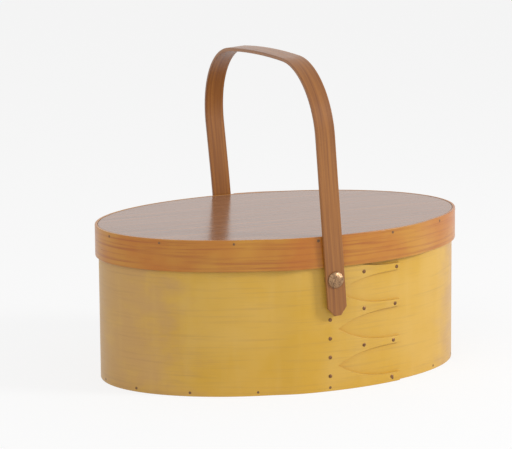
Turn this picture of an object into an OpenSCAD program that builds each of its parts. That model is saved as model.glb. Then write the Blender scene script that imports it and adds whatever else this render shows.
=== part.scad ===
// Oval bentwood box with a lid and a swing handle.
// The origin is at the middle of the underside, +X runs along the box, -Y is the front, +Z is up.
// All sizes are in millimetres.

/* [Body] */
// Length of the body over a single layer of its band
body_l = 300; // [260:1:340]
// Width of the body over a single layer of its band
body_w = 200; // [170:1:225]
// Height of the body
body_h = 118; // [100:1:140]
// Thickness of the body's band
band_t = 2.4; // [1.8:0.1:3]
// Thickness of the bottom board
bottom_t = 6; // [4.5:0.5:9]

/* [Lap of the body's band] */
// Where the outer layer begins to rise over the inner one, left of the middle
lap_rise_x = -52; // [-64:1:-46]
// Length over which the outer layer rises
lap_rise_l = 30; // [20:1:34]
// Where the fingers part from the band, right of the middle
finger_root_x = 5; // [2:0.5:12]
// Length of a finger from its root to its tip
finger_l = 58; // [45:1:75]
// Height of the lowest root point
first_root_z = 19.8; // [18.8:0.2:24]
// Distance from one root point to the next
finger_pitch = 29.4; // [26:0.2:34]
// How far a finger's upper edge falls between root and tip
finger_fall = 12.4; // [9:0.1:13]
// How far a finger's lower edge climbs between root and tip
finger_climb = 11.2; // [6:0.1:12]

/* [Tacks] */
// Diameter of a tack's shank
tack_d = 1.2; // [0.9:0.1:1.6]
// Diameter of a tack's head
tack_head_d = 3; // [2.4:0.1:4]
// Height of a tack's head
tack_head_h = 0.5; // [0.3:0.05:0.6]
// Distance of the highest end tack from its finger's tip
tip_tack_in = 3.5; // [2.5:0.5:6]
// How much farther in the end tack of each lower finger is
tip_tack_step = 1.6; // [0:0.1:2]
// Distance of the middle tack from a finger's root
mid_tack_in = 23; // [16:0.5:28]
// Distance of the upright row of tacks from the fingers' roots
root_row_in = 7; // [5:0.5:12]
// Height of the lowest tack in the upright row
root_row_z = 12.2; // [11:0.1:16]
// Distance between tacks in the upright row
root_row_pitch = 15; // [12:0.1:20]

/* [Lid] */
// Height of the lid's band
lid_band_h = 25; // [20:0.5:34]
// Thickness of the lid's band
lid_band_t = 2.2; // [1.6:0.1:2.8]
// Thickness of the lid's board
lid_board_t = 6; // [4.5:0.5:9]
// Room between the body and the lid's band
lid_play = 0.5; // [0.4:0.05:1]
// Where the lid's outer layer begins to rise over its inner one, at the back
lid_lap_rise_x = 52; // [46:1:60]
// Length over which the lid's outer layer rises
lid_lap_rise_l = 28; // [20:1:32]
// Where the lid's one finger parts from its band
lid_root_x = 8; // [2:0.5:12]
// Length of the lid's finger
lid_finger_l = 52; // [40:1:64]
// Height of the lid's finger at its tip
lid_finger_tip_h = 8; // [6:0.5:11]

/* [Handle] */
// Width of the handle
handle_w = 16; // [13:0.5:18]
// Thickness of the handle
handle_t = 2.8; // [2.2:0.1:3.6]
// Depth of the rivets below the lid's edge
pivot_below_lid = 9.3; // [8.8:0.1:16]
// Room between the lid's end and the handle as it swings past
swing_room = 10.6; // [6:0.1:20]
// Room between the lid's band and the handle's arms
arm_room = 0.6; // [0.5:0.1:1.5]
// Length of the arms below the rivets
arm_tail = 28.8; // [16:0.2:36]
// Width left square at the foot of each arm
tail_flat_w = 5.5; // [3:0.5:9]
// Height of the clipped corners at the foot of each arm
tail_clip_h = 6.5; // [4:0.5:9]
// Radius of the front shoulder bend
front_bend_r = 55; // [45:1:62]
// Radius of the rear shoulder bend
rear_bend_r = 66; // [45:1:70]
// Where the front shoulder bend begins, below the crown
front_bend_drop = 55.6; // [55:0.1:64]
// Where the rear shoulder bend begins, below the crown
rear_bend_drop = 73.2; // [72:0.1:78]
// Radius of the crown between the shoulders
crown_r = 780; // [500:10:1500]
// How far the rear arm leans out above the lid, in degrees
rear_lean = 3; // [0.5:0.1:4]
// Radius of the bend that starts the rear arm's lean
lean_bend_r = 450; // [300:10:500]
// How far the standing handle leans towards the left end, in degrees
handle_lean = 4.1; // [0:0.1:12]

/* [Rivets] */
// Diameter of a rivet's shank
rivet_d = 5; // [4:0.5:6.5]
// Diameter of a rivet's head
rivet_head_d = 13; // [11:0.5:15]
// Height of a rivet's head
rivet_head_h = 2.6; // [1.8:0.1:3.6]
// Height of the straight edge round a rivet's head
rivet_rim_h = 0.5; // [0.3:0.1:0.8]
// Diameter of the spacer behind each arm
spacer_d = 14; // [11:0.5:15]
// Diameter of the burr inside the wall
burr_d = 11; // [10:0.5:14]
// Thickness of the burr inside the wall
burr_t = 1.2; // [0.8:0.1:2]
// Diameter of the closed end of each rivet
rivet_end_d = 8; // [7:0.5:9]
// Height of the closed end of each rivet
rivet_end_h = 1.2; // [0.8:0.1:2]

/* [Pegs] */
// Diameter of a peg
peg_d = 2.2; // [1.6:0.1:3]
// Length of a peg in a board
peg_hold = 8; // [5:0.5:12]
// Number of pegs round the bottom board
bottom_pegs_n = 16; // [10:1:20]
// Number of pegs round the lid's board
lid_pegs_n = 14; // [10:1:18]

/* [Fits] */
// Room round a board inside its band
board_fit = 0.05; // [0.03:0.01:0.2]
// Room round a tack, a peg or a rivet in its hole
pin_fit = 0.03; // [0.02:0.01:0.06]
// Room round a rivet's shank in the handle
hinge_fit = 0.08; // [0.05:0.01:0.1]
// Room at each face of the handle's arms
arm_side_fit = 0.2; // [0.15:0.05:0.4]
// Room between the lid's board and the body's rim
lid_seat_fit = 0.3; // [0.2:0.05:0.5]
// Room under the heads, spacers and burrs
seat_fit = 0.03; // [0.02:0.01:0.06]

/* [Hidden] */

// Places round the oval are angles, as on a circle: 0 at the right end, 270 at the front
OVAL_STEPS = 180;
STEP = 360 / OVAL_STEPS;
TAPER_STEPS = 10;
BEND_STEP = 3;
PIN_FN = 32;
HEAD_FN = 64;
EPS = 0.01;

// How far the lid's band starts to clear the lap before it, and eases back past the fingers
LID_LEAD = 10;
LID_EASE = 32;
// Turn of each row of pegs round the oval
BOTTOM_PEG_TURN = -0.8;
LID_PEG_TURN = 8;

half_l = body_l / 2;
half_w = body_w / 2;

lid_top_z = body_h + lid_seat_fit + lid_board_t;
lid_low_z = lid_top_z - lid_band_h;
lid_half_l = half_l + lid_play + lid_band_t;

finger_tip_x = finger_root_x + finger_l;
finger_tip_h = finger_pitch - finger_fall - finger_climb;
roots_n = floor((body_h - first_root_z) / finger_pitch) + 1;
lid_tip_x = lid_root_x - lid_finger_l;
lid_mid_z = lid_top_z - lid_band_h / 2;

pivot_z = lid_low_z - pivot_below_lid;
arm_in_y = half_w + lid_play + lid_band_t + max(band_t, lid_band_t) + arm_room;
arm_mid_y = arm_in_y + handle_t / 2;
arm_out_y = arm_in_y + handle_t;

bottom_peg_z = bottom_t / 2;
lid_peg_z = lid_top_z - lid_board_t / 2;

// Smooth rise from 0 at a to 1 at b
function rise(x, a, b) =
    let (u = max(0, min(1, (x - a) / (b - a))))
    u * u * (3 - 2 * u);

// Direction of the outward normal at an angle of the oval
function normal(t) = atan2(half_l * sin(t), half_w * cos(t));

// Point of the oval at an angle, moved outwards by d
function oval(t, d) =
    [half_l * cos(t) + d * cos(normal(t)), half_w * sin(t) + d * sin(normal(t))];

// Angles of the oval at which its front and its rear have a given x
function front_t(x) = 360 - acos(x / half_l);
function rear_t(x) = acos(x / half_l);
rivet_places = [front_t(0), rear_t(0)];

// Thickness of the body's outer layer at an x of the front
function lap_over(x) = band_t * rise(x, lap_rise_x, lap_rise_x + lap_rise_l);
function lap_at(t) = sin(t) < 0 ? lap_over(half_l * cos(t)) : 0;

// Height of the body's face over a single layer, with the outer layer where it lies
function body_face(t) = half_l * cos(t) < finger_tip_x ? lap_at(t) : 0;

// Inner face of the lid's band, which passes over the body's lap
function lid_over(x) =
    lap_over(x + LID_LEAD) * (1 - rise(x, finger_tip_x + LID_LEAD, finger_tip_x + LID_LEAD + LID_EASE));
function lid_inside(t) = lid_play + (sin(t) < 0 ? lid_over(half_l * cos(t)) : 0);

// Thickness of the lid's outer layer at an angle of the rear
function lid_lap_at(t) =
    sin(t) > 0 ? lid_band_t * rise(-half_l * cos(t), -lid_lap_rise_x, lid_lap_rise_l - lid_lap_rise_x) : 0;

// Height of the lid's face near its top edge
function lid_face(t) =
    lid_inside(t) + lid_band_t + (half_l * cos(t) > lid_root_x ? lid_lap_at(t) : 0);

// Share of a finger's taper that is done at a share u of its length
function taper(u) = 1 - pow(1 - u, 3);
function shares() = [for (i = [0 : TAPER_STEPS]) i / TAPER_STEPS];
function shares_back() = [for (i = [TAPER_STEPS : -1 : 0]) i / TAPER_STEPS];

// Points of an arc round c
function arc(c, r, a, b) =
    let (n = ceil(abs(b - a) / BEND_STEP))
    [for (i = [0 : n]) let (t = a + (b - a) * i / n) c + r * [cos(t), sin(t)]];

function bottom_peg_t(i) = i * 360 / bottom_pegs_n + BOTTOM_PEG_TURN;
function lid_peg_t(i) = i * 360 / lid_pegs_n + LID_PEG_TURN;

// Closed line round the oval, moved outwards by the same amount everywhere
module oval_shape(d) {
    polygon([for (i = [0 : OVAL_STEPS - 1]) oval(i * STEP, d)]);
}

// Closed line round the inside of the lid's band, moved outwards by d
module lid_shape(d) {
    polygon([for (i = [0 : OVAL_STEPS - 1]) oval(i * STEP, lid_inside(i * STEP) + d)]);
}

// Carries a shape drawn along +Z to a place on the oval, with +Z pointing outwards
module on_wall(t, d, z) {
    p = oval(t, d);
    translate([p.x, p.y, z])
        rotate([0, 90, normal(t)])
            children();
}

// Hole for a pin through both layers of a band
module pin_hole(t, d, z, pin) {
    on_wall(t, d - 2 * band_t, z)
        cylinder(d = pin + 2 * pin_fit, h = 4 * band_t + lid_band_t, $fn = PIN_FN);
}

// The edges that meet in one root point: the finger below falls away, the one above climbs
function root_edges(z) = concat(
    [for (u = shares_back()) [finger_root_x + finger_l * u, z - finger_fall * taper(u)]],
    [for (u = shares()) if (u > 0) [finger_root_x + finger_l * u, z + finger_climb * taper(u)]]);

// Outer layer of the body's band seen from the front, with its fingers pointing right
module finger_outline() {
    roots = [for (k = [0 : roots_n - 1]) each root_edges(first_root_z + k * finger_pitch)];
    top = body_h + finger_pitch;
    polygon(concat([[-half_l, -EPS], [finger_tip_x, -EPS]], roots, [[finger_tip_x, top], [-half_l, top]]));
}

// Outer layer of the body's band seen from above, before its fingers are cut
module lap_shape() {
    first = floor(front_t(lap_rise_x) / STEP);
    last = ceil(front_t(finger_tip_x) / STEP) + 1;
    polygon(concat(
        [for (i = [first : last]) oval(i * STEP, lap_at(i * STEP))],
        [for (i = [last : -1 : first]) oval(i * STEP, -band_t / 3)]));
}

// Outer layer of the lid's band seen from the rear, with its one finger
module lid_finger_outline() {
    rest = (lid_band_h - lid_finger_tip_h) / 2;
    polygon(concat(
        [[half_l, lid_low_z]],
        [for (u = shares()) [lid_root_x - lid_finger_l * u, lid_low_z + rest * taper(u)]],
        [for (u = shares_back()) [lid_root_x - lid_finger_l * u, lid_top_z - rest * taper(u)]],
        [[half_l, lid_top_z]]));
}

// Outer layer of the lid's band seen from above, before its finger is cut
module lid_lap_shape() {
    first = floor(rear_t(lid_lap_rise_x) / STEP);
    last = ceil(rear_t(lid_tip_x) / STEP) + 1;
    polygon(concat(
        [for (i = [first : last]) let (t = i * STEP) oval(t, lid_inside(t) + lid_band_t + lid_lap_at(t))],
        [for (i = [last : -1 : first]) let (t = i * STEP) oval(t, lid_inside(t) + lid_band_t / 2)]));
}

// Places of the tacks in the body's lap, as [x, z]
function tip_z(k) = first_root_z + k * finger_pitch - finger_fall - finger_tip_h / 2;
fingers_n = len([for (k = [0 : roots_n - 1]) if (tip_z(k) < lid_low_z - tack_head_d) k]);
row_top_z = pivot_z - spacer_d / 2 - tack_head_d;
finger_tack_places = concat(
    [for (k = [0 : fingers_n - 1]) [finger_tip_x - tip_tack_in - (fingers_n - 1 - k) * tip_tack_step, tip_z(k)]],
    [for (k = [1 : fingers_n - 1]) [finger_root_x + mid_tack_in, tip_z(k)]],
    [for (z = [root_row_z : root_row_pitch : row_top_z]) [finger_root_x - root_row_in, z]]);

// Places of the tacks in the lid's lap, as [x, z]
lid_tack_places = [
    [lid_tip_x + tip_tack_in, lid_mid_z],
    [lid_root_x - mid_tack_in, lid_mid_z],
    [lid_root_x + root_row_in, lid_mid_z - lid_band_h / 4],
    [lid_root_x + root_row_in, lid_mid_z + lid_band_h / 4]];

// A tack through layers of wood, with its point turned over inside unless it meets a board
module tack(wood_t, turned) {
    head_r = tack_head_d / 2;
    translate([0, 0, seat_fit])
        rotate_extrude($fn = PIN_FN)
            polygon([[0, 0], [head_r, 0], [head_r, tack_head_h * 0.3],
                [head_r * 0.6, tack_head_h * 0.85], [0, tack_head_h]]);
    point = turned ? wood_t + seat_fit + tack_head_h : wood_t - seat_fit;
    translate([0, 0, -point])
        cylinder(d = tack_d, h = point + seat_fit + EPS, $fn = PIN_FN);
    if (turned)
        translate([0, 0, -point])
            cylinder(d = tack_d * 1.7, h = tack_head_h, $fn = PIN_FN);
}

// Domed head of a rivet, standing on z = 0
module rivet_head() {
    r = rivet_head_d / 2;
    h = rivet_head_h - rivet_rim_h;
    dome_r = (r * r + h * h) / (2 * h);
    edge = asin(r / dome_r);
    rotate_extrude($fn = HEAD_FN)
        polygon(concat(
            [[0, 0], [r, 0]],
            arc([0, rivet_head_h - dome_r], dome_r, 90 - edge, 90)));
}

// Parts of the handle's middle line, seen from the right end: y runs to the rear, z up from the rivets
crown_z = norm([lid_half_l, lid_top_z - pivot_z]) + swing_room + handle_t / 2;
lean_z = lid_top_z - pivot_z + EPS;
lean_c = [arm_mid_y + lean_bend_r, lean_z];
rear_z = crown_z - rear_bend_drop;
rear_y = arm_mid_y + lean_bend_r * (1 - cos(rear_lean))
    + (rear_z - lean_z - lean_bend_r * sin(rear_lean)) * tan(rear_lean);
front_c = [front_bend_r - arm_mid_y, crown_z - front_bend_drop];
rear_c = [rear_y, rear_z] + rear_bend_r * [-cos(rear_lean), sin(rear_lean)];
// Middle of the crown's arc, which runs on from both shoulder bends
span = norm(rear_c - front_c);
along = (rear_c - front_c) / span;
front_gap = crown_r - front_bend_r;
rear_gap = crown_r - rear_bend_r;
foot = (front_gap * front_gap - rear_gap * rear_gap + span * span) / (2 * span);
crown_c = front_c + foot * along + sqrt(front_gap * front_gap - foot * foot) * [along.y, -along.x];
front_end = atan2(front_c.y - crown_c.y, front_c.x - crown_c.x);
rear_end = atan2(rear_c.y - crown_c.y, rear_c.x - crown_c.x);

// The handle's face at a distance d outside its middle line, from the front foot to the rear foot
function handle_line(d) = concat(
    [[-arm_mid_y - d, -arm_tail]],
    arc(front_c, front_bend_r + d, 180, front_end),
    arc(crown_c, crown_r + d, front_end, rear_end),
    arc(rear_c, rear_bend_r + d, rear_end, -rear_lean),
    arc(lean_c, lean_bend_r - d, 180 - rear_lean, 180),
    [[arm_mid_y + d, -arm_tail]]);
function backwards(p) = [for (i = [len(p) - 1 : -1 : 0]) p[i]];

module body_band() color("#cf9f35") {
    difference() {
        union() {
            linear_extrude(body_h)
                difference() {
                    oval_shape(0);
                    oval_shape(-band_t);
                }
            intersection() {
                linear_extrude(body_h)
                    lap_shape();
                rotate([90, 0, 0])
                    linear_extrude(body_w)
                        finger_outline();
            }
        }
        for (p = finger_tack_places)
            pin_hole(front_t(p[0]), 0, p[1], tack_d);
        for (i = [0 : bottom_pegs_n - 1])
            pin_hole(bottom_peg_t(i), 0, bottom_peg_z, peg_d);
        for (t = rivet_places)
            pin_hole(t, 0, pivot_z, rivet_d);
    }
}

module bottom_board() color("#b98a4a") {
    difference() {
        linear_extrude(bottom_t)
            oval_shape(-band_t - board_fit);
        for (i = [0 : bottom_pegs_n - 1])
            on_wall(bottom_peg_t(i), -band_t - peg_hold - pin_fit, bottom_peg_z)
                cylinder(d = peg_d + 2 * pin_fit, h = peg_hold + band_t, $fn = PIN_FN);
    }
}

module bottom_pegs() color("#6b4a22") {
    for (i = [0 : bottom_pegs_n - 1])
        on_wall(bottom_peg_t(i), -band_t - peg_hold, bottom_peg_z)
            cylinder(d = peg_d, h = peg_hold + band_t + body_face(bottom_peg_t(i)), $fn = PIN_FN);
}

module finger_tacks() color("#6e4526") {
    for (p = finger_tack_places)
        on_wall(front_t(p[0]), lap_over(p[0]), p[1])
            tack(band_t + lap_over(p[0]), p[1] > bottom_t + tack_head_d);
}

module lid_band() color("#b8641f") {
    difference() {
        union() {
            translate([0, 0, lid_low_z])
                linear_extrude(lid_band_h)
                    difference() {
                        lid_shape(lid_band_t);
                        lid_shape(0);
                    }
            intersection() {
                translate([0, 0, lid_low_z])
                    linear_extrude(lid_band_h)
                        lid_lap_shape();
                translate([0, body_w, 0])
                    rotate([90, 0, 0])
                        linear_extrude(body_w)
                            lid_finger_outline();
            }
        }
        for (p = lid_tack_places)
            pin_hole(rear_t(p[0]), lid_play, p[1], tack_d);
        for (i = [0 : lid_pegs_n - 1])
            pin_hole(lid_peg_t(i), lid_inside(lid_peg_t(i)), lid_peg_z, peg_d);
    }
}

module lid_board() color("#bfae9c") {
    difference() {
        translate([0, 0, lid_top_z - lid_board_t])
            linear_extrude(lid_board_t)
                lid_shape(-board_fit);
        for (i = [0 : lid_pegs_n - 1])
            on_wall(lid_peg_t(i), lid_inside(lid_peg_t(i)) - peg_hold - pin_fit, lid_peg_z)
                cylinder(d = peg_d + 2 * pin_fit, h = peg_hold + lid_band_t, $fn = PIN_FN);
    }
}

module lid_pegs() color("#5e3418") {
    for (i = [0 : lid_pegs_n - 1])
        let (t = lid_peg_t(i), in_d = lid_inside(t) - peg_hold)
            on_wall(t, in_d, lid_peg_z)
                cylinder(d = peg_d, h = lid_face(t) - in_d, $fn = PIN_FN);
}

module lid_tacks() color("#6e4526") {
    for (p = lid_tack_places)
        let (t = rear_t(p[0]), lap = lid_lap_at(t))
            on_wall(t, lid_play + lid_band_t + lap, p[1])
                tack(lid_band_t + lap, false);
}

module handle() color("#9c5f2e") {
    half = handle_w / 2;
    flat = tail_flat_w / 2;
    clip_z = tail_clip_h - arm_tail;
    top = crown_z + handle_w;
    translate([0, 0, pivot_z])
        rotate([0, -handle_lean, 0])
            difference() {
                intersection() {
                    rotate([90, 0, 90])
                        linear_extrude(handle_w, center = true)
                            polygon(concat(handle_line(handle_t / 2), backwards(handle_line(-handle_t / 2))));
                    rotate([90, 0, 0])
                        linear_extrude(3 * body_w, center = true)
                            polygon([[-half, clip_z], [-flat, -arm_tail], [flat, -arm_tail],
                                [half, clip_z], [half, top], [-half, top]]);
                }
                rotate([90, 0, 0])
                    cylinder(d = rivet_d + 2 * hinge_fit, h = 3 * body_w, center = true, $fn = HEAD_FN);
            }
}

// One rivet from its closed end inside the wall to its head outside the arm
module handle_rivets() color("#8a6a4a") {
    end_in = band_t + burr_t + 2 * seat_fit + rivet_end_h;
    head_out = arm_out_y + arm_side_fit - half_w;
    for (t = rivet_places)
        on_wall(t, 0, pivot_z) {
            translate([0, 0, -end_in])
                cylinder(d = rivet_d, h = end_in + head_out + EPS, $fn = HEAD_FN);
            translate([0, 0, -end_in])
                cylinder(d1 = rivet_end_d * 0.7, d2 = rivet_end_d, h = rivet_end_h, $fn = HEAD_FN);
            translate([0, 0, head_out])
                rivet_head();
        }
}

module rivet_burrs() color("#8a6a4a") {
    intersection() {
        for (t = rivet_places)
            on_wall(t, -band_t - seat_fit - burr_t, pivot_z)
                difference() {
                    cylinder(d = burr_d, h = burr_t + band_t, $fn = HEAD_FN);
                    translate([0, 0, -EPS])
                        cylinder(d = rivet_d + 2 * pin_fit, h = burr_t + band_t + 2 * EPS, $fn = HEAD_FN);
                }
        linear_extrude(body_h)
            oval_shape(-band_t - seat_fit);
    }
}

// Ring between a wall, whose face lies at d, and the arm outside it
module spacer(t, d) {
    difference() {
        on_wall(t, 0, pivot_z)
            difference() {
                cylinder(d = spacer_d, h = arm_in_y - arm_side_fit - half_w, $fn = HEAD_FN);
                translate([0, 0, -EPS])
                    cylinder(d = rivet_d + 2 * pin_fit, h = body_w, $fn = HEAD_FN);
            }
        linear_extrude(body_h)
            oval_shape(d + seat_fit);
    }
}

module front_spacer() color("#7a5a3c") {
    spacer(front_t(0), band_t);
}

module rear_spacer() color("#7a5a3c") {
    spacer(rear_t(0), 0);
}

body_band();
bottom_board();
bottom_pegs();
finger_tacks();
lid_band();
lid_board();
lid_pegs();
lid_tacks();
handle();
handle_rivets();
rivet_burrs();
front_spacer();
rear_spacer();
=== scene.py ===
import math
import random
from bisect import bisect_left

import bmesh
import bpy
from mathutils import Matrix, Vector, noise


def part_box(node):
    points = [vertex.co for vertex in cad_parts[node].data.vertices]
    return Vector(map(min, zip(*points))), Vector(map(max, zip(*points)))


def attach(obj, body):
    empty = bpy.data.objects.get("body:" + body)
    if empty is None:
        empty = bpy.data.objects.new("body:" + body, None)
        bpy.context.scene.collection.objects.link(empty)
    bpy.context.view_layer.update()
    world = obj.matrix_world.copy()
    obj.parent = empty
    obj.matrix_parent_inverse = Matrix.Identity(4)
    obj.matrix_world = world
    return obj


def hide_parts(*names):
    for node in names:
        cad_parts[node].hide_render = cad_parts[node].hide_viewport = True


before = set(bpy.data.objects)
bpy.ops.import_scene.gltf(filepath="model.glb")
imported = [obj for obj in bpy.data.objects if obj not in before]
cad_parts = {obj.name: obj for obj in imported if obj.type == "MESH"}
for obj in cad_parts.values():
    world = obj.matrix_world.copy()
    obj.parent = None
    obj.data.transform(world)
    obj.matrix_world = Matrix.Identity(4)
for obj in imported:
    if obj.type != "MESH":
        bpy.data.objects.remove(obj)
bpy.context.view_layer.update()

MM = 0.001

# Sizes taken from the frame, in metres
body_low, body_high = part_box("body_band")
lid_low, lid_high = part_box("lid_band")
board_low, board_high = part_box("lid_board")
handle_low, handle_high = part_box("handle")
rivet_low, rivet_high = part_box("handle_rivets")
board_bottom_low, board_bottom_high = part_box("bottom_board")
HALF_L = body_high.x
HALF_W = body_high.y
BODY_H = body_high.z
BAND_T = -body_low.y - HALF_W
LID_PLAY = 0.5 * MM
LID_T = lid_high.x - HALF_L - LID_PLAY
LID_LOW = lid_low.z
LID_TOP = lid_high.z
PIVOT_Z = (rivet_low.z + rivet_high.z) / 2
HEAD_OUT = rivet_high.y

# Lap of the body's band
LAP_RISE_X = -52 * MM
LAP_RISE_L = 30 * MM
FINGER_ROOT_X = 5 * MM
FINGER_L = 58 * MM
FIRST_ROOT_Z = 19.8 * MM
FINGER_PITCH = 29.4 * MM
FINGER_FALL = 12.4 * MM
FINGER_CLIMB = 11.2 * MM
ROOTS_N = 4

# Lap of the lid's band, at the back
LID_LAP_RISE_X = 52 * MM
LID_LAP_RISE_L = 28 * MM
LID_ROOT_X = 8 * MM
LID_FINGER_L = 52 * MM
LID_FINGER_TIP_H = 8 * MM
LID_LEAD = 10 * MM
LID_EASE = 32 * MM

# Handle, with the radii and starts of its bends
HANDLE_W = 16 * MM
HANDLE_T = 2.8 * MM
ARM_MID_Y = -handle_low.y - HANDLE_T / 2
ARM_TAIL = 28.8 * MM
TAIL_FLAT_W = 5.5 * MM
TAIL_CLIP_H = 6.5 * MM
SWING_ROOM = 10.6 * MM
FRONT_BEND_R = 55 * MM
REAR_BEND_R = 66 * MM
FRONT_BEND_DROP = 55.6 * MM
REAR_BEND_DROP = 73.2 * MM
CROWN_R = 780 * MM
REAR_LEAN = math.radians(3)
LEAN_BEND_R = 450 * MM
HANDLE_LEAN = math.radians(4.1)
RIVET_BORE_R = 2.58 * MM

HANDLE_EASE = 0.55 * MM
ARM_ROOM = 0.2 * MM

# Rivets, spacers, burrs and pegs
RIVET_R = 2.5 * MM
RIVET_HEAD_R = 6.5 * MM
RIVET_HEAD_H = 2.6 * MM
RIVET_RIM_H = 0.5 * MM
RIVET_END_R = 4 * MM
RIVET_END_H = 1.2 * MM
SPACER_R = 7 * MM
BURR_R = 5.5 * MM
BURR_T = 1.2 * MM
SEAT = 0.03 * MM
HAMMER = 0.35 * MM
EASE = 0.2 * MM
PEG_R = 1.1 * MM
PEG_HOLD = 8 * MM
PEG_PROUD = 0.15 * MM

# Lid's board in its band
BOARD_ROOM = 0.12 * MM
BOARD_SUNK = 0.15 * MM
BOARD_EASE = 0.5 * MM

# How finely the strips are cut before they are bent
HAIR = 0.02 * MM
TAPER_STEPS = 14
CUT = 2.6 * MM


# Shapes of the bentwood pieces

def rise(x, a, b):
    """Smooth step from 0 at a to 1 at b."""
    u = max(0.0, min(1.0, (x - a) / (b - a)))
    return u * u * (3 - 2 * u)


def taper(u):
    return 1 - (1 - u) ** 3


def oval_point(t, d, z):
    """A point of the oval at the angle t, moved outwards by d, at the height z."""
    out = Vector((HALF_W * math.cos(t), HALF_L * math.sin(t))).normalized()
    return Vector((HALF_L * math.cos(t) + d * out.x, HALF_W * math.sin(t) + d * out.y, z))


# Angles of the oval by the distance along it, counted from the middle of the front
FRONT = -math.pi / 2
ARC_STEPS = 1440
RIVET_PLACES = (FRONT, -FRONT)
ARC_ANGLES = [FRONT + 2 * math.pi * i / ARC_STEPS for i in range(ARC_STEPS + 1)]
ARC_LENGTHS = [0.0]
for before, after in zip(ARC_ANGLES, ARC_ANGLES[1:]):
    ARC_LENGTHS.append(ARC_LENGTHS[-1] + (oval_point(after, 0, 0) - oval_point(before, 0, 0)).length)
GIRTH = ARC_LENGTHS[-1]


def angle_at(along):
    """The oval's angle at a distance along it."""
    turns, rest = divmod(along, GIRTH)
    i = max(1, bisect_left(ARC_LENGTHS, rest))
    share = (rest - ARC_LENGTHS[i - 1]) / (ARC_LENGTHS[i] - ARC_LENGTHS[i - 1])
    return ARC_ANGLES[i - 1] + share * (ARC_ANGLES[i] - ARC_ANGLES[i - 1]) + turns * 2 * math.pi


def along_to(t):
    """The distance along the oval to the angle t."""
    share = (t - FRONT) / (2 * math.pi) * ARC_STEPS
    i = min(int(share), ARC_STEPS - 1)
    return ARC_LENGTHS[i] + (share - i) * (ARC_LENGTHS[i + 1] - ARC_LENGTHS[i])


def along_front(x):
    return along_to(2 * math.pi - math.acos(x / HALF_L)) if x < 0 else along_to(-math.acos(x / HALF_L))


def along_rear(x):
    return along_to(math.acos(x / HALF_L))


def body_lap(x):
    """Thickness of the body's outer layer at an x of the front."""
    return BAND_T * rise(x, LAP_RISE_X, LAP_RISE_X + LAP_RISE_L)


def lid_inside(t):
    """Room between the body's single layer and the lid's band, which passes over the body's lap."""
    x = HALF_L * math.cos(t)
    tip = FINGER_ROOT_X + FINGER_L
    over = body_lap(x + LID_LEAD) * (1 - rise(x, tip + LID_LEAD, tip + LID_LEAD + LID_EASE))
    return LID_PLAY + (over if math.sin(t) < 0 else 0)


def board_from(outline, thick):
    """A board cut to an outline in (along, up), from depth 0 to depth thick."""
    bm = bmesh.new()
    face = bm.faces.new([bm.verts.new((along, 0, up)) for along, up in outline])
    grown = bmesh.ops.extrude_face_region(bm, geom=[face])["geom"]
    moved = [g for g in grown if isinstance(g, bmesh.types.BMVert)]
    bmesh.ops.translate(bm, vec=(0, thick, 0), verts=moved)
    bmesh.ops.recalc_face_normals(bm, faces=bm.faces)
    return bm


def rim_edges(bm, depth, wanted):
    """Edges round the face at a depth whose neighbouring side face satisfies wanted(normal, middle)."""
    found = []
    for edge in bm.edges:
        if all(abs(v.co.y - depth) < 1e-6 for v in edge.verts) and len(edge.link_faces) == 2:
            sides = [f for f in edge.link_faces if abs(f.normal.y) < 0.5]
            middle = (edge.verts[0].co + edge.verts[1].co) / 2
            if len(sides) == 1 and wanted(sides[0].normal, middle):
                found.append(edge)
    return found


def ease(bm, edges, width, segments=2):
    bmesh.ops.bevel(bm, geom=edges, offset=width, offset_type="OFFSET", segments=segments,
                    profile=0.5, material=-1, affect="EDGES")


def slice_along(bm, start, end, step):
    """Cuts the straight strip across at even steps, so that it can bend."""
    count = math.ceil((end - start) / step)
    for i in range(1, count):
        place = (start + (end - start) * i / count, 0, 0)
        everything = bm.verts[:] + bm.edges[:] + bm.faces[:]
        bmesh.ops.bisect_plane(bm, geom=everything, dist=1e-6, plane_co=place, plane_no=(1, 0, 0))


def keep_grain(bm, inner_depth):
    """Stores the straight strip's own coordinates for its grain, and marks its inner face."""
    layer = bm.loops.layers.uv.new("Grain")
    for face in bm.faces:
        if all(v.co.y < inner_depth for v in face.verts) and face.normal.y < -0.9:
            face.material_index = 1
        for loop in face.loops:
            loop[layer].uv = (loop.vert.co.x, loop.vert.co.z + 0.5 * loop.vert.co.y)


def finished(bm, name, body, replaced, materials, smooth_angle=35):
    """Makes the mesh a piece that rides on a body in place of CAD nodes."""
    bmesh.ops.recalc_face_normals(bm, faces=bm.faces)
    mesh = bpy.data.meshes.new(name)
    bm.to_mesh(mesh)
    bm.free()
    for material in materials:
        mesh.materials.append(material)
    for polygon in mesh.polygons:
        polygon.use_smooth = True
    mesh.set_sharp_from_angle(angle=math.radians(smooth_angle))
    piece = bpy.data.objects.new(name, mesh)
    bpy.context.scene.collection.objects.link(piece)
    even = piece.modifiers.new("Even shading", "WEIGHTED_NORMAL")
    even.keep_sharp = True
    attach(piece, body)
    if replaced:
        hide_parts(*replaced)
    return piece


# Shader building

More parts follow.
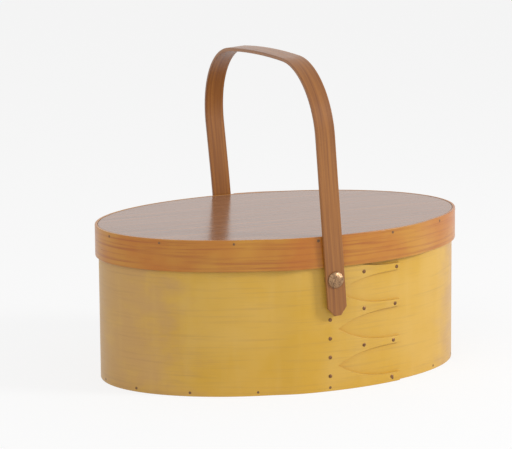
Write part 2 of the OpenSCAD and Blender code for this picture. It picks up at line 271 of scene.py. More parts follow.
class Sheet:
    """Adds nodes to one shader tree. Sockets are linked, and plain values are set on the input."""

    def __init__(self, tree):
        self.tree = tree

    def join(self, socket, value):
        if isinstance(value, bpy.types.NodeSocket):
            self.tree.links.new(value, socket)
        elif value is not None:
            socket.default_value = value

    def node(self, kind, inputs=None, **settings):
        made = self.tree.nodes.new(kind)
        for key, value in settings.items():
            setattr(made, key, value)
        for key, value in (inputs or {}).items():
            self.join(made.inputs[key], value)
        return made

    def math(self, operation, a, b=None, c=None, clamp=False):
        made = self.node("ShaderNodeMath", operation=operation, use_clamp=clamp)
        for socket, value in zip(made.inputs, (a, b, c)):
            self.join(socket, value)
        return made.outputs[0]

    def vector(self, operation, a, b):
        made = self.node("ShaderNodeVectorMath", operation=operation)
        self.join(made.inputs[0], a)
        self.join(made.inputs[1], b)
        return made.outputs[0]

    def scaled(self, vector, scale, offset=(0, 0, 0)):
        return self.node("ShaderNodeMapping", {"Vector": vector, "Scale": scale, "Location": offset}).outputs[0]

    def split(self, vector):
        return self.node("ShaderNodeSeparateXYZ", {"Vector": vector}).outputs

    def noise(self, vector, scale=1.0, detail=3.0, roughness=0.55, distortion=0.0):
        inputs = {"Vector": vector, "Scale": scale, "Detail": detail, "Roughness": roughness,
                  "Distortion": distortion}
        return self.node("ShaderNodeTexNoise", inputs).outputs["Fac"]

    def remap(self, value, low, high, to_low=0.0, to_high=1.0, smooth=False):
        kind = "SMOOTHSTEP" if smooth else "LINEAR"
        inputs = {"Value": value, "From Min": low, "From Max": high, "To Min": to_low, "To Max": to_high}
        return self.node("ShaderNodeMapRange", inputs, interpolation_type=kind).outputs[0]

    def mix(self, share, a, b, blend="MIX"):
        made = self.node("ShaderNodeMix", data_type="RGBA", blend_type=blend)
        sockets = [s for s in made.inputs if s.type == "RGBA"]
        self.join(made.inputs[0], share)
        self.join(sockets[0], tint(a))
        self.join(sockets[1], tint(b))
        return [s for s in made.outputs if s.type == "RGBA"][0]

    def ramp(self, value, stops):
        made = self.node("ShaderNodeValToRGB", {"Fac": value})
        elements = made.color_ramp.elements
        while len(elements) < len(stops):
            elements.new(0.5)
        for element, (place, colour) in zip(elements, stops):
            element.position = place
            element.color = tint(colour)
        return made.outputs["Color"]

    def group(self, tree, inputs):
        made = self.node("ShaderNodeGroup", node_tree=tree)
        for key, value in inputs.items():
            self.join(made.inputs[key], value)
        return made.outputs

    def bump(self, height, strength, distance, normal=None):
        inputs = {"Height": height, "Strength": strength, "Distance": distance, "Normal": normal}
        return self.node("ShaderNodeBump", inputs).outputs[0]


def tint(colour):
    """A colour as four numbers, or the socket that was given."""
    if isinstance(colour, bpy.types.NodeSocket) or len(colour) == 4:
        return colour
    return (*colour, 1.0)


def effect(name, inputs, outputs):
    """An empty shader node group, with a sheet for its nodes, its input sockets and its output node."""
    tree = bpy.data.node_groups.new(name, "ShaderNodeTree")
    for socket, kind, start in inputs:
        made = tree.interface.new_socket(socket, in_out="INPUT", socket_type="NodeSocket" + kind)
        made.default_value = start
    for socket, kind in outputs:
        tree.interface.new_socket(socket, in_out="OUTPUT", socket_type="NodeSocket" + kind)
    sheet = Sheet(tree)
    return tree, sheet, sheet.node("NodeGroupInput").outputs, sheet.node("NodeGroupOutput").inputs


def make_grain():
    """Grain of a plain-sawn strip: x runs along it and y across it, in metres."""
    tree, s, given, put = effect("Wood grain", [("Vector", "Vector", (0, 0, 0)), ("Length", "Float", 1.0)],
                                 [("Fine", "Float"), ("Streak", "Float"), ("Figure", "Float"), ("Pores", "Float")])
    across = s.scaled(given["Vector"], (1, 1, 1))
    x, y, z = s.split(across)
    stretched = s.math("DIVIDE", x, given["Length"])
    line = s.node("ShaderNodeCombineXYZ", {"X": stretched, "Y": y, "Z": z}).outputs[0]
    s.join(put["Fine"], s.noise(s.scaled(line, (55, 1500, 1500)), detail=4, roughness=0.65))
    s.join(put["Streak"], s.noise(s.scaled(line, (14, 420, 420)), detail=4, roughness=0.6, distortion=0.4))
    s.join(put["Figure"], s.noise(s.scaled(line, (70, 9, 9)), detail=3, roughness=0.5))
    pores = s.noise(s.scaled(line, (160, 2600, 2600)), detail=2, roughness=0.5)
    s.join(put["Pores"], s.remap(pores, 0.62, 0.74))
    return tree


def make_spot():
    """Soft-edged ellipse on the x and z of a vector, with a ragged border."""
    inputs = [("Vector", "Vector", (0, 0, 0)), ("Ragged", "Float", 0.0), ("Centre X", "Float", 0.0),
              ("Centre Z", "Float", 0.0), ("Half X", "Float", 0.01), ("Half Z", "Float", 0.01),
              ("Turn", "Float", 0.0), ("Soft", "Float", 0.5)]
    tree, s, given, put = effect("Spot", inputs, [("Mask", "Float")])
    x, _, z = s.split(given["Vector"])
    x = s.math("SUBTRACT", x, given["Centre X"])
    z = s.math("SUBTRACT", z, given["Centre Z"])
    cosine = s.math("COSINE", given["Turn"])
    sine = s.math("SINE", given["Turn"])
    long = s.math("ADD", s.math("MULTIPLY", x, cosine), s.math("MULTIPLY", z, sine))
    wide = s.math("SUBTRACT", s.math("MULTIPLY", z, cosine), s.math("MULTIPLY", x, sine))
    long = s.math("DIVIDE", long, given["Half X"])
    wide = s.math("DIVIDE", wide, given["Half Z"])
    far = s.math("SQRT", s.math("ADD", s.math("MULTIPLY", long, long), s.math("MULTIPLY", wide, wide)))
    far = s.math("ADD", far, given["Ragged"])
    inner = s.math("SUBTRACT", 1.0, given["Soft"])
    fade = s.node("ShaderNodeMapRange", {"Value": far, "From Min": inner, "From Max": 1.0,
                                         "To Min": 1.0, "To Max": 0.0}, interpolation_type="SMOOTHSTEP")
    s.join(put["Mask"], fade.outputs[0])
    return tree


GRAIN = make_grain()
SPOT = make_spot()


def new_material(name):
    material = bpy.data.materials.new(name)
    material.use_nodes = True
    material.node_tree.nodes.clear()
    return material, Sheet(material.node_tree)


def shade(s, colour, roughness, normal, ior=1.45, metallic=0.0, coat=0.0):
    inputs = {"Base Color": colour, "Roughness": roughness, "Normal": normal, "IOR": ior, "Metallic": metallic,
              "Coat Weight": coat, "Coat Roughness": 0.12}
    surface = s.node("ShaderNodeBsdfPrincipled", inputs)
    s.node("ShaderNodeOutputMaterial", {"Surface": surface.outputs[0]})


def place_spots(s, colour, vector, ragged, front, spots):
    """Lays each spot (x, z, half x, half z, turn in degrees, softness, colour, strength) over a colour."""
    for x, z, half_x, half_z, turn, soft, spot_colour, strength in spots:
        mask = s.group(SPOT, {"Vector": vector, "Ragged": ragged, "Centre X": x * MM, "Centre Z": z * MM,
                              "Half X": half_x * MM, "Half Z": half_z * MM, "Turn": math.radians(turn),
                              "Soft": soft})["Mask"]
        colour = s.mix(s.math("MULTIPLY", s.math("MULTIPLY", mask, strength), front), colour, spot_colour)
    return colour


# Colours, as linear red, green and blue
GOLD = (0.60, 0.345, 0.035)
PALE_GOLD = (0.66, 0.42, 0.11)
TAN = (0.50, 0.285, 0.10)
DULL_BROWN = (0.30, 0.165, 0.075)
GRIME = (0.10, 0.05, 0.022)
BARE_WOOD = (0.40, 0.24, 0.11)
ORANGE = (0.46, 0.155, 0.018)
HONEY = (0.52, 0.235, 0.03)
RED_BROWN = (0.29, 0.065, 0.018)
MAROON = (0.13, 0.025, 0.016)


def bare_wood(name, light, dark):
    """Inner faces, never stained, browned by age."""
    material, s = new_material(name)
    place = s.node("ShaderNodeTexCoord").outputs["Object"]
    grain = s.group(GRAIN, {"Vector": place, "Length": 1.0})
    tone = s.mix(s.remap(grain["Streak"], 0.35, 0.7), light, dark)
    tone = s.mix(s.math("MULTIPLY", grain["Pores"], 0.5), tone, GRIME)
    blotch = s.noise(place, scale=28, detail=4)
    tone = s.mix(s.remap(blotch, 0.5, 0.75, 0, 0.35), tone, DULL_BROWN)
    normal = s.bump(grain["Fine"], 0.4, 0.0002)
    shade(s, tone, s.remap(grain["Fine"], 0.3, 0.7, 0.62, 0.8), normal)
    return material


def body_wood():
    material, s = new_material("Yellow stained maple")
    coordinates = s.node("ShaderNodeTexCoord").outputs
    place, strip = coordinates["Object"], coordinates["UV"]
    strip = s.node("ShaderNodeUVMap", uv_map="Grain").outputs[0]
    x, y, z = s.split(place)
    grain = s.group(GRAIN, {"Vector": strip, "Length": 1.0})
    cloud = s.noise(place, scale=16, detail=3)
    patch = s.noise(s.scaled(place, (30, 30, 55), (3, 1, 2)), detail=4, roughness=0.6)
    # Painted shade: towards both ends, where the band turns away from the light, the colour is mixed to a darker,
    # duller tan
    far = s.math("ADD", s.math("ABSOLUTE", x), s.remap(patch, 0.3, 0.7, -0.02, 0.02))
    ends = s.remap(far, 0.095, 0.15, 0, 1, smooth=True)
    colour = s.mix(s.remap(cloud, 0.4, 0.65, 0, 0.45), GOLD, PALE_GOLD)
    colour = s.mix(s.math("MULTIPLY", ends, 0.85), colour, TAN)
    colour = s.mix(s.remap(grain["Figure"], 0.5, 0.72, 0, 0.25), colour, PALE_GOLD)
    colour = s.mix(s.remap(grain["Streak"], 0.52, 0.72, 0, 0.22), colour, DULL_BROWN)
    colour = s.mix(s.remap(grain["Fine"], 0.55, 0.8, 0, 0.18), colour, DULL_BROWN)
    shade(s, colour, s.remap(grain["Fine"], 0.3, 0.7, 0.34, 0.46), s.bump(grain["Fine"], 0.15, 0.0002))
    return material


def lid_band_wood():
    material, s = new_material("Orange stained maple")
    strip = s.node("ShaderNodeUVMap", uv_map="Grain").outputs[0]
    place = s.node("ShaderNodeTexCoord").outputs["Object"]
    grain = s.group(GRAIN, {"Vector": strip, "Length": 1.2})
    cloud = s.noise(place, scale=20, detail=3)
    colour = s.mix(s.remap(cloud, 0.35, 0.65), ORANGE, HONEY)
    colour = s.mix(s.remap(grain["Streak"], 0.48, 0.7, 0, 0.6), colour, RED_BROWN)
    shade(s, colour, s.remap(grain["Fine"], 0.3, 0.7, 0.26, 0.36), s.bump(grain["Fine"], 0.12, 0.0002))
    return material


def lid_board_wood():
    material, s = new_material("Brown varnished pine")
    place = s.node("ShaderNodeTexCoord").outputs["Object"]
    grain = s.group(GRAIN, {"Vector": place, "Length": 3.0})
    colour = s.mix(s.remap(grain["Streak"], 0.35, 0.7), (0.33, 0.15, 0.07), (0.2, 0.085, 0.04))
    shade(s, colour, s.remap(grain["Fine"], 0.3, 0.7, 0.16, 0.24), s.bump(grain["Fine"], 0.08, 0.0002))
    return material


def handle_wood():
    material, s = new_material("Orange stained hickory")
    strip = s.node("ShaderNodeUVMap", uv_map="Grain").outputs[0]
    grain = s.group(GRAIN, {"Vector": strip, "Length": 1.6})
    colour = s.mix(s.remap(grain["Streak"], 0.35, 0.7), (0.36, 0.145, 0.035), (0.2, 0.07, 0.02))
    shade(s, colour, s.remap(grain["Fine"], 0.3, 0.7, 0.28, 0.4), s.bump(grain["Fine"], 0.15, 0.0002))
    return material


def aged_copper(name, base, dark, roughness):
    material, s = new_material(name)
    place = s.node("ShaderNodeTexCoord").outputs["Object"]
    patina = s.noise(place, scale=900, detail=4, roughness=0.6)
    colour = s.mix(s.remap(patina, 0.4, 0.65), base, dark)
    normal = s.bump(s.noise(place, scale=1400, detail=3), 0.4, 0.0002)
    shade(s, colour, s.remap(patina, 0.4, 0.7, roughness, roughness + 0.2), normal, metallic=0.75)
    return material


def end_grain(name, light, dark):
    material, s = new_material(name)
    place = s.node("ShaderNodeTexCoord").outputs["Object"]
    fleck = s.noise(place, scale=1500, detail=3, roughness=0.6)
    colour = s.mix(s.remap(fleck, 0.35, 0.65), light, dark)
    shade(s, colour, s.remap(fleck, 0.3, 0.7, 0.45, 0.6), s.bump(fleck, 0.3, 0.0001))
    return material


INNER_WOOD = bare_wood("Bare maple", BARE_WOOD, (0.30, 0.17, 0.075))
BOTTOM_WOOD = bare_wood("Bare pine", (0.43, 0.27, 0.125), (0.30, 0.17, 0.075))
BODY_WOOD = body_wood()
LID_BAND_WOOD = lid_band_wood()
LID_BOARD_WOOD = lid_board_wood()
HANDLE_WOOD = handle_wood()
RIVET_METAL = aged_copper("Aged copper", (0.42, 0.25, 0.13), (0.16, 0.09, 0.05), 0.34)
TACK_METAL = aged_copper("Dark copper", (0.26, 0.13, 0.06), (0.10, 0.045, 0.02), 0.42)
PEG_WOOD = end_grain("Peg end grain", (0.24, 0.12, 0.045), (0.11, 0.05, 0.02))
SPACER_WOOD = end_grain("Spacer wood", (0.22, 0.10, 0.04), (0.11, 0.045, 0.02))


# Body's band: one strip that goes once round the oval and laps over its own first end

def body_inner_face(t):
    return -BAND_T


def bend_round(bm, start, lap_end, tip, thick, inner_face, low):
    """Bends a straight strip round the oval, its last end lifted over its thinned first end."""
    slice_along(bm, start, tip, CUT)
    keep_grain(bm, thick / 10)
    for vert in bm.verts:
        along, depth, z = vert.co
        t = angle_at(along)
        thin = max(rise(along, start, lap_end), 0.02) if along < lap_end else 1
        over = rise(along - GIRTH, start, lap_end)
        vert.co = oval_point(t, inner_face(t) + over * (thick + HAIR) + depth * thin, low + z)


def shares(steps=TAPER_STEPS):
    return [i / steps for i in range(steps + 1)]


def body_outline(start, root, tip):
    """Outline of the body's straight strip, with fingers cut into its last end."""
    right = [(tip, 0.0)]
    for k in range(ROOTS_N):
        z = FIRST_ROOT_Z + k * FINGER_PITCH
        right += [(root + (tip - root) * u, z - FINGER_FALL * taper(u)) for u in reversed(shares())]
        right += [(root + (tip - root) * u, z + FINGER_CLIMB * taper(u)) for u in shares()[1:]]
    below_top = [place for place in right if place[1] < BODY_H]
    runs_out = below_top[-1][0] + (tip - root) / (2 * TAPER_STEPS)
    return [(start, 0.0)] + below_top + [(runs_out, BODY_H), (start, BODY_H)]


def make_body_band():
    start = along_front(LAP_RISE_X) - GIRTH
    lap_end = along_front(LAP_RISE_X + LAP_RISE_L) - GIRTH
    root = GIRTH + along_front(FINGER_ROOT_X)
    tip = GIRTH + along_front(FINGER_ROOT_X + FINGER_L)
    bm = board_from(body_outline(start, root, tip), BAND_T)
    ends = (1 * MM, BODY_H - 1 * MM)
    ease(bm, rim_edges(bm, BAND_T, lambda n, m: not ends[0] < m.z < ends[1]), 0.5 * MM, 3)
    ease(bm, rim_edges(bm, BAND_T, lambda n, m: ends[0] < m.z < ends[1] and n.z > 0.05), 0.25 * MM, 2)
    ease(bm, rim_edges(bm, BAND_T, lambda n, m: ends[0] < m.z < ends[1] and n.z < -0.05), 0.9 * MM, 2)
    ease(bm, rim_edges(bm, 0, lambda n, m: not ends[0] < m.z < ends[1]), 0.4 * MM)
    bend_round(bm, start, lap_end, tip, BAND_T, body_inner_face, 0)
    return finished(bm, "body_band_strip", "body", ["body_band"], [BODY_WOOD, INNER_WOOD])


# Lid

def make_lid_band():
    start = along_rear(LID_LAP_RISE_X)
    lap_end = along_rear(LID_LAP_RISE_X - LID_LAP_RISE_L)
    root = GIRTH + along_rear(LID_ROOT_X)
    tip = GIRTH + along_rear(LID_ROOT_X - LID_FINGER_L)
    height = LID_TOP - LID_LOW
    rest = (height - LID_FINGER_TIP_H) / 2
    lower = [(root + (tip - root) * u, rest * taper(u)) for u in shares()]
    upper = [(root + (tip - root) * u, height - rest * taper(u)) for u in reversed(shares())]
    bm = board_from([(start, 0.0)] + lower + upper + [(start, height)], LID_T)
    edge = lambda n, m: abs(n.z) > 0.98 and not 1 * MM < m.z < height - 1 * MM
    ease(bm, rim_edges(bm, LID_T, edge), 0.55 * MM, 3)
    ease(bm, rim_edges(bm, 0, edge), 0.35 * MM)
    bend_round(bm, start, lap_end, tip, LID_T, lid_inside, LID_LOW)
    return finished(bm, "lid_band_strip", "lid", ["lid_band"], [LID_BAND_WOOD, INNER_WOOD])


def make_lid_board():
    steps = 240
    bm = bmesh.new()
    angles = [2 * math.pi * i / steps for i in range(steps)]
    top = bm.faces.new([bm.verts.new(oval_point(t, lid_inside(t) - BOARD_ROOM, board_high.z - BOARD_SUNK))
                        for t in angles])
    grown = bmesh.ops.extrude_face_region(bm, geom=[top])["geom"]
    lowered = [g for g in grown if isinstance(g, bmesh.types.BMVert)]
    bmesh.ops.translate(bm, vec=(0, 0, board_low.z - board_high.z + BOARD_SUNK), verts=lowered)
    bmesh.ops.recalc_face_normals(bm, faces=bm.faces)
    top_z = board_high.z - BOARD_SUNK
    rim = [e for e in bm.edges if all(abs(v.co.z - top_z) < 1e-6 for v in e.verts)]
    ease(bm, rim, BOARD_EASE, 3)
    return finished(bm, "lid_board_panel", "lid", ["lid_board"], [LID_BOARD_WOOD])


# Handle: a straight strip, bored at both ends and bent along lines and arcs

def handle_path():
    """The handle's middle line as (start, heading, length, turn) pieces, from the front foot to the rear."""
    crown_z = math.hypot(lid_high.x, LID_TOP - PIVOT_Z) + SWING_ROOM + HANDLE_T / 2
    lean_z = LID_TOP - PIVOT_Z
    rear_z = crown_z - REAR_BEND_DROP
    leaning = rear_z - lean_z - LEAN_BEND_R * math.sin(REAR_LEAN)
    rear_y = ARM_MID_Y + LEAN_BEND_R * (1 - math.cos(REAR_LEAN)) + leaning * math.tan(REAR_LEAN)
    front_c = Vector((FRONT_BEND_R - ARM_MID_Y, crown_z - FRONT_BEND_DROP))
    rear_c = Vector((rear_y - REAR_BEND_R * math.cos(REAR_LEAN), rear_z + REAR_BEND_R * math.sin(REAR_LEAN)))
    span = (rear_c - front_c).length
    along = (rear_c - front_c) / span
    front_gap, rear_gap = CROWN_R - FRONT_BEND_R, CROWN_R - REAR_BEND_R
    foot = (front_gap ** 2 - rear_gap ** 2 + span ** 2) / (2 * span)
    crown_c = front_c + foot * along + math.sqrt(front_gap ** 2 - foot ** 2) * Vector((along.y, -along.x))
    front_end = math.atan2(front_c.y - crown_c.y, front_c.x - crown_c.x)
    rear_end = math.atan2(rear_c.y - crown_c.y, rear_c.x - crown_c.x)
    lines = [(ARM_TAIL + crown_z - FRONT_BEND_DROP, 0),
             (FRONT_BEND_R * (math.pi - front_end), math.pi - front_end),
             (CROWN_R * (front_end - rear_end), front_end - rear_end),
             (REAR_BEND_R * (rear_end + REAR_LEAN), rear_end + REAR_LEAN),
             (leaning / math.cos(REAR_LEAN), 0),
             (LEAN_BEND_R * REAR_LEAN, -REAR_LEAN),
             (lean_z + ARM_TAIL, 0)]
    path, start, heading = [], Vector((-ARM_MID_Y, -ARM_TAIL)), 0.0
    for length, turn in lines:
        path.append((start, heading, length, turn))
        start = walk(path[-1], length)[0]
        heading += turn
    return path


def walk(piece, far):
    """Point and heading at a distance into one line or arc of the path."""
    start, heading, length, turn = piece
    if turn == 0:
        return start + far * Vector((math.sin(heading), math.cos(heading))), heading
    radius = length / turn
    there = heading + far / radius
    step = Vector((math.cos(heading) - math.cos(there), math.sin(there) - math.sin(heading)))
    return start + radius * step, there


def bore(bm, along, radius, half=4 * MM, sides=6):
    """Cuts a round hole through the flat face of the straight strip."""
    for sign in (-1, 1):
        for place, normal in (((along + sign * half, 0, 0), (1, 0, 0)), ((0, 0, sign * half), (0, 0, 1))):
            near = [f for f in bm.faces if any(abs(v.co.x - along) < 30 * MM for v in f.verts)]
            parts = {e for f in near for e in f.edges} | {v for f in near for v in f.verts}
            bmesh.ops.bisect_plane(bm, geom=near + list(parts), dist=1e-6, plane_co=place, plane_no=normal)
    middle = Vector((along, 0, 0))
    patch = min(bm.faces, key=lambda f: (f.calc_center_median() - middle).length + f.calc_area() * 10)
    square = list(patch.edges)
    bmesh.ops.delete(bm, geom=[patch], context="FACES_ONLY")
    ring = bmesh.ops.subdivide_edges(bm, edges=square, cuts=sides - 1)["geom_inner"]
    near_ring = [e for e in bm.edges if all((v.co - middle).length < half * 1.5 for v in e.verts)]
    border = [e for e in near_ring if len(e.link_faces) == 1]
    turned = Matrix.Translation(middle) @ Matrix.Rotation(math.pi / 2, 4, "X")
    turned = turned @ Matrix.Rotation(math.pi / 4, 4, "Z")
    circle = bmesh.ops.create_circle(bm, segments=4 * sides, radius=radius, matrix=turned)["verts"]
    hole = {e for v in circle for e in v.link_edges}
    bmesh.ops.bridge_loops(bm, edges=border + list(hole))


def make_handle():
    path = handle_path()
    ends = [0.0]
    for piece in path:
        ends.append(ends[-1] + piece[2])
    length = ends[-1]
    half, flat = HANDLE_W / 2, TAIL_FLAT_W / 2
    bm = bmesh.new()
    outline = [(0, -flat), (TAIL_CLIP_H, -half), (length - TAIL_CLIP_H, -half), (length, -flat),
               (length, flat), (length - TAIL_CLIP_H, half), (TAIL_CLIP_H, half), (0, flat)]
    bm.faces.new([bm.verts.new((along, 0, across)) for along, across in outline])
    for along in (length / 2 - 60 * MM, length / 2 + 60 * MM):
        everything = bm.verts[:] + bm.edges[:] + bm.faces[:]
        bmesh.ops.bisect_plane(bm, geom=everything, dist=1e-6, plane_co=(along, 0, 0), plane_no=(1, 0, 0))
    for along in (ARM_TAIL, length - ARM_TAIL):
        bore(bm, along, RIVET_BORE_R)
    grown = bmesh.ops.extrude_face_region(bm, geom=bm.faces[:])["geom"]
    moved = [g for g in grown if isinstance(g, bmesh.types.BMVert)]
    bmesh.ops.translate(bm, vec=(0, HANDLE_T, 0), verts=moved)
    bmesh.ops.recalc_face_normals(bm, faces=bm.faces)
    away = lambda n, m: min(abs(m.x - ARM_TAIL), abs(m.x - length + ARM_TAIL)) > 5 * MM or abs(m.z) > 5 * MM
    for depth in (0, HANDLE_T):
        ease(bm, rim_edges(bm, depth, away), HANDLE_EASE, 3)
    slice_along(bm, 0, length, CUT)
    keep_grain(bm, -1)
    lean = Matrix.Translation((0, 0, PIVOT_Z)) @ Matrix.Rotation(-HANDLE_LEAN, 4, "Y")
    for vert in bm.verts:
        along, depth, across = vert.co
        i = min(max(1, bisect_left(ends, along)), len(path)) - 1
        middle, heading = walk(path[i], along - ends[i])
        out = depth - HANDLE_T / 2
        y, z = middle + out * Vector((-math.cos(heading), math.sin(heading)))
        vert.co = lean @ Vector((across, y, z))
    return finished(bm, "handle_strip", "handle", ["handle"], [HANDLE_WOOD])


# Round pieces

def spun(profile, segments, place):
    """A closed round shape from (radius, height) points that start and end on its axis."""
    bm = bmesh.new()
    verts = [bm.verts.new((radius, 0, height)) for radius, height in profile]
    edges = [bm.edges.new(pair) for pair in zip(verts, verts[1:])]
    bmesh.ops.spin(bm, geom=verts + edges, cent=(0, 0, 0), axis=(0, 0, 1), angle=2 * math.pi,
                   steps=segments, use_merge=True)
    bmesh.ops.remove_doubles(bm, verts=bm.verts, dist=1e-7)
    bmesh.ops.recalc_face_normals(bm, faces=bm.faces)
    bmesh.ops.transform(bm, matrix=place, verts=bm.verts)
    return bm


def joined(parts):
    """One mesh from several."""
    whole = bmesh.new()
    for part in parts:
        mesh = bpy.data.meshes.new("part")
        part.to_mesh(mesh)
        part.free()
        whole.from_mesh(mesh)
        bpy.data.meshes.remove(mesh)
    return whole


def wall_place(t, d, z):
    """Matrix that stands a shape's +Z outwards at a place on the oval."""
    out = (oval_point(t, 1, 0) - oval_point(t, 0, 0)).normalized()
    side = Vector((0, 0, 1)).cross(out)
    turned = Matrix((side, Vector((0, 0, 1)), out)).transposed().to_4x4()
    return Matrix.Translation(oval_point(t, d, z)) @ turned


def make_rivets():
    parts = []
    head_base = HEAD_OUT - RIVET_HEAD_H - HALF_W
    end_in = -BAND_T - BURR_T - RIVET_END_H - 2 * SEAT
    for t in RIVET_PLACES:
        dome = [(RIVET_HEAD_R * math.cos(a), RIVET_RIM_H + (RIVET_HEAD_H - RIVET_RIM_H) * math.sin(a))
                for a in [math.pi / 2 * i / 8 for i in range(9)]]
        profile = [(0, end_in), (0.7 * RIVET_END_R, end_in), (RIVET_END_R, end_in + RIVET_END_H),
                   (RIVET_R, end_in + RIVET_END_H), (RIVET_R, head_base), (RIVET_HEAD_R - EASE, head_base)]
        profile += [(r, head_base + h) for r, h in [(RIVET_HEAD_R, EASE)] + dome[:-1]]
        profile += [(0, head_base + RIVET_HEAD_H)]
        bm = spun(profile, 40, Matrix.Identity(4))
        bm.normal_update()
        for vert in bm.verts:
            if vert.co.z > head_base + RIVET_RIM_H:
                dent = noise.noise(vert.co * 330 + Vector((t, 3, 1)))
                vert.co += vert.normal * (dent - 0.35) * HAMMER
        bmesh.ops.transform(bm, matrix=wall_place(t, 0, PIVOT_Z), verts=bm.verts)
        parts.append(bm)
    return finished(joined(parts), "rivets_hammered", "body", ["handle_rivets"], [RIVET_METAL], 50)


def make_ring(name, node, inner_r, outer_r, places, material):
    """Rings round the rivets, each from one distance off the oval to another."""
    parts = []
    for t, low, high in places:
        soft = 0.2 * MM
        profile = [(inner_r, low), (outer_r - soft, low), (outer_r, low + soft), (outer_r, high - soft),
                   (outer_r - soft, high), (inner_r, high), (inner_r, low)]
        parts.append(spun(profile, 48, wall_place(t, 0, PIVOT_Z)))
    return finished(joined(parts), name, "body", [node], [material])


def make_pegs(name, node, body, count, turn, face, inner, z):
    """Whittled pegs, their heads cut off just proud of the band."""
    random.seed(count)
    parts = []
    for i in range(count):
        t = math.radians(360 * i / count + turn)
        radius = PEG_R * random.uniform(0.85, 1.12)
        low, high = inner(t), face(t) + PEG_PROUD * random.uniform(0.4, 1.0)
        profile = [(0, low), (radius, low), (radius, high - 0.3 * PEG_PROUD), (0.6 * radius, high), (0, high)]
        bm = spun(profile, 11, Matrix.Diagonal((random.uniform(0.9, 1.1), 1, 1, 1)))
        bmesh.ops.transform(bm, matrix=wall_place(t, 0, z) @ Matrix.Rotation(i, 4, "Z"), verts=bm.verts)
        parts.append(bm)
    return finished(joined(parts), name, body, [node], [PEG_WOOD])


def body_face(t):
    x = HALF_L * math.cos(t)
    return body_lap(x) if math.sin(t) < 0 and x < FINGER_ROOT_X + FINGER_L else 0


def lid_face(t):
    x = HALF_L * math.cos(t)
    lap = LID_T * rise(-x, -LID_LAP_RISE_X, LID_LAP_RISE_L - LID_LAP_RISE_X) if math.sin(t) > 0 else 0
    return lid_inside(t) + LID_T + (lap if x > LID_ROOT_X else 0)


make_body_band()
make_lid_band()
make_lid_board()
make_handle()
make_rivets()
make_ring("front_spacer_ring", "front_spacer", RIVET_R + 0.03 * MM, SPACER_R,
          [(FRONT, BAND_T + 2 * HAIR, ARM_MID_Y - HANDLE_T / 2 - ARM_ROOM - HALF_W)], SPACER_WOOD)
make_ring("rear_spacer_ring", "rear_spacer", RIVET_R + 0.03 * MM, SPACER_R,
          [(-FRONT, 2 * HAIR, ARM_MID_Y - HANDLE_T / 2 - ARM_ROOM - HALF_W)], SPACER_WOOD)
make_ring("burr_rings", "rivet_burrs", RIVET_R + 0.03 * MM, BURR_R,
          [(t, -BAND_T - SEAT - BURR_T, -BAND_T - SEAT) for t in RIVET_PLACES], RIVET_METAL)
make_pegs("bottom_peg_ends", "bottom_pegs", "body", 16, -0.8, body_face, lambda t: -BAND_T - PEG_HOLD,
          (board_bottom_low.z + board_bottom_high.z) / 2)
make_pegs("lid_peg_ends", "lid_pegs", "lid", 14, 8, lid_face, lambda t: lid_inside(t) - PEG_HOLD,
          (board_low.z + board_high.z) / 2)

for node, material in (("bottom_board", BOTTOM_WOOD), ("finger_tacks", TACK_METAL), ("lid_tacks", TACK_METAL)):
    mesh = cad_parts[node].data
    mesh.materials.clear()
    mesh.materials.append(material)


# Camera, as the photograph was taken
AZIMUTH = math.radians(-24.1)
ELEVATION = math.radians(10.56)
ROLL = math.radians(-0.47)
DISTANCE = 2.325
AIM = Vector((-0.0189, 0, 0.1172))
PHOTO_W = 512
FOCAL_PX = 2888
SENSOR_MM = 36

away = Vector((math.sin(AZIMUTH) * math.cos(ELEVATION), -math.cos(AZIMUTH) * math.cos(ELEVATION),
               math.sin(ELEVATION)))
level = Vector((math.cos(AZIMUTH), math.sin(AZIMUTH), 0))
upright = away.cross(level)
right = math.cos(ROLL) * level + math.sin(ROLL) * upright
up = math.cos(ROLL) * upright - math.sin(ROLL) * level
lens = bpy.data.cameras.new("Camera")
lens.sensor_width = SENSOR_MM
lens.lens = FOCAL_PX / PHOTO_W * SENSOR_MM
camera = bpy.data.objects.new("Camera", lens)
turned = Matrix((right, up, away)).transposed().to_4x4()
camera.matrix_world = Matrix.Translation(AIM + DISTANCE * away) @ turned
bpy.context.scene.collection.objects.link(camera)
bpy.context.scene.camera = camera


# Floor, world and lamps

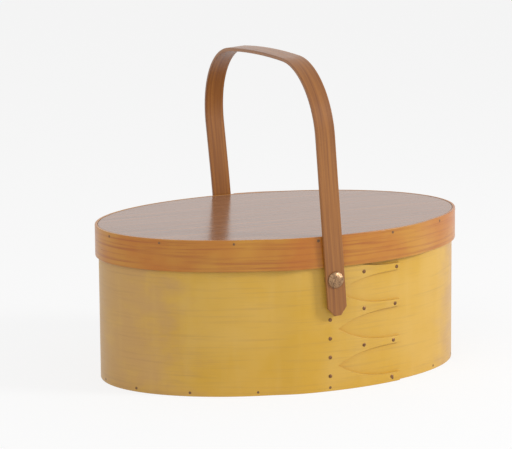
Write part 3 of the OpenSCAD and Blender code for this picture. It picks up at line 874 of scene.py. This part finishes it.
def make_floor():
    bm = bmesh.new()
    bmesh.ops.create_grid(bm, x_segments=1, y_segments=1, size=4)
    mesh = bpy.data.meshes.new("floor")
    bm.to_mesh(mesh)
    bm.free()
    floor = bpy.data.objects.new("floor", mesh)
    bpy.context.scene.collection.objects.link(floor)
    material, s = new_material("White paper")
    diffuse = s.node("ShaderNodeBsdfDiffuse", {"Color": (0.9, 0.9, 0.9, 1)}).outputs[0]
    plain = s.node("ShaderNodeEmission", {"Color": (1, 1, 1, 1), "Strength": 1.0}).outputs[0]
    ray = s.node("ShaderNodeLightPath").outputs
    seen = s.math("MULTIPLY", s.math("MAXIMUM", ray["Is Camera Ray"], ray["Is Glossy Ray"]), 0.8)
    mixed = s.node("ShaderNodeMixShader", {"Fac": seen})
    s.join(mixed.inputs[1], diffuse)
    s.join(mixed.inputs[2], plain)
    s.node("ShaderNodeOutputMaterial", {"Surface": mixed.outputs[0]})
    mesh.materials.append(material)


def make_world():
    world = bpy.data.worlds.new("Studio")
    bpy.context.scene.world = world
    world.use_nodes = True
    world.node_tree.nodes.clear()
    s = Sheet(world.node_tree)
    ray = s.node("ShaderNodeLightPath").outputs
    seen = s.math("MAXIMUM", s.math("MAXIMUM", ray["Is Camera Ray"], ray["Is Glossy Ray"]),
                  ray["Is Transmission Ray"])
    strength = s.remap(seen, 0, 1, 0.55, 1.0)
    background = s.node("ShaderNodeBackground", {"Color": (1, 1, 1, 1), "Strength": strength})
    s.node("ShaderNodeOutputWorld", {"Surface": background.outputs[0]})


def add_lamp(name, azimuth, elevation, distance, size, watts):
    """A square lamp that looks at the box from a direction in degrees."""
    a, e = math.radians(azimuth), math.radians(elevation)
    out = Vector((math.sin(a) * math.cos(e), -math.cos(a) * math.cos(e), math.sin(e)))
    light = bpy.data.lights.new(name, "AREA")
    light.energy = watts
    light.size = size
    lamp = bpy.data.objects.new(name, light)
    lamp.location = AIM + distance * out
    lamp.rotation_euler = out.to_track_quat("Z", "Y").to_euler()
    bpy.context.scene.collection.objects.link(lamp)


make_floor()
make_world()
add_lamp("Key", 52, 24, 1.6, 0.35, 14)
add_lamp("Fill", -60, 35, 2.2, 1.6, 12)

bpy.context.scene.view_settings.view_transform = "Standard"
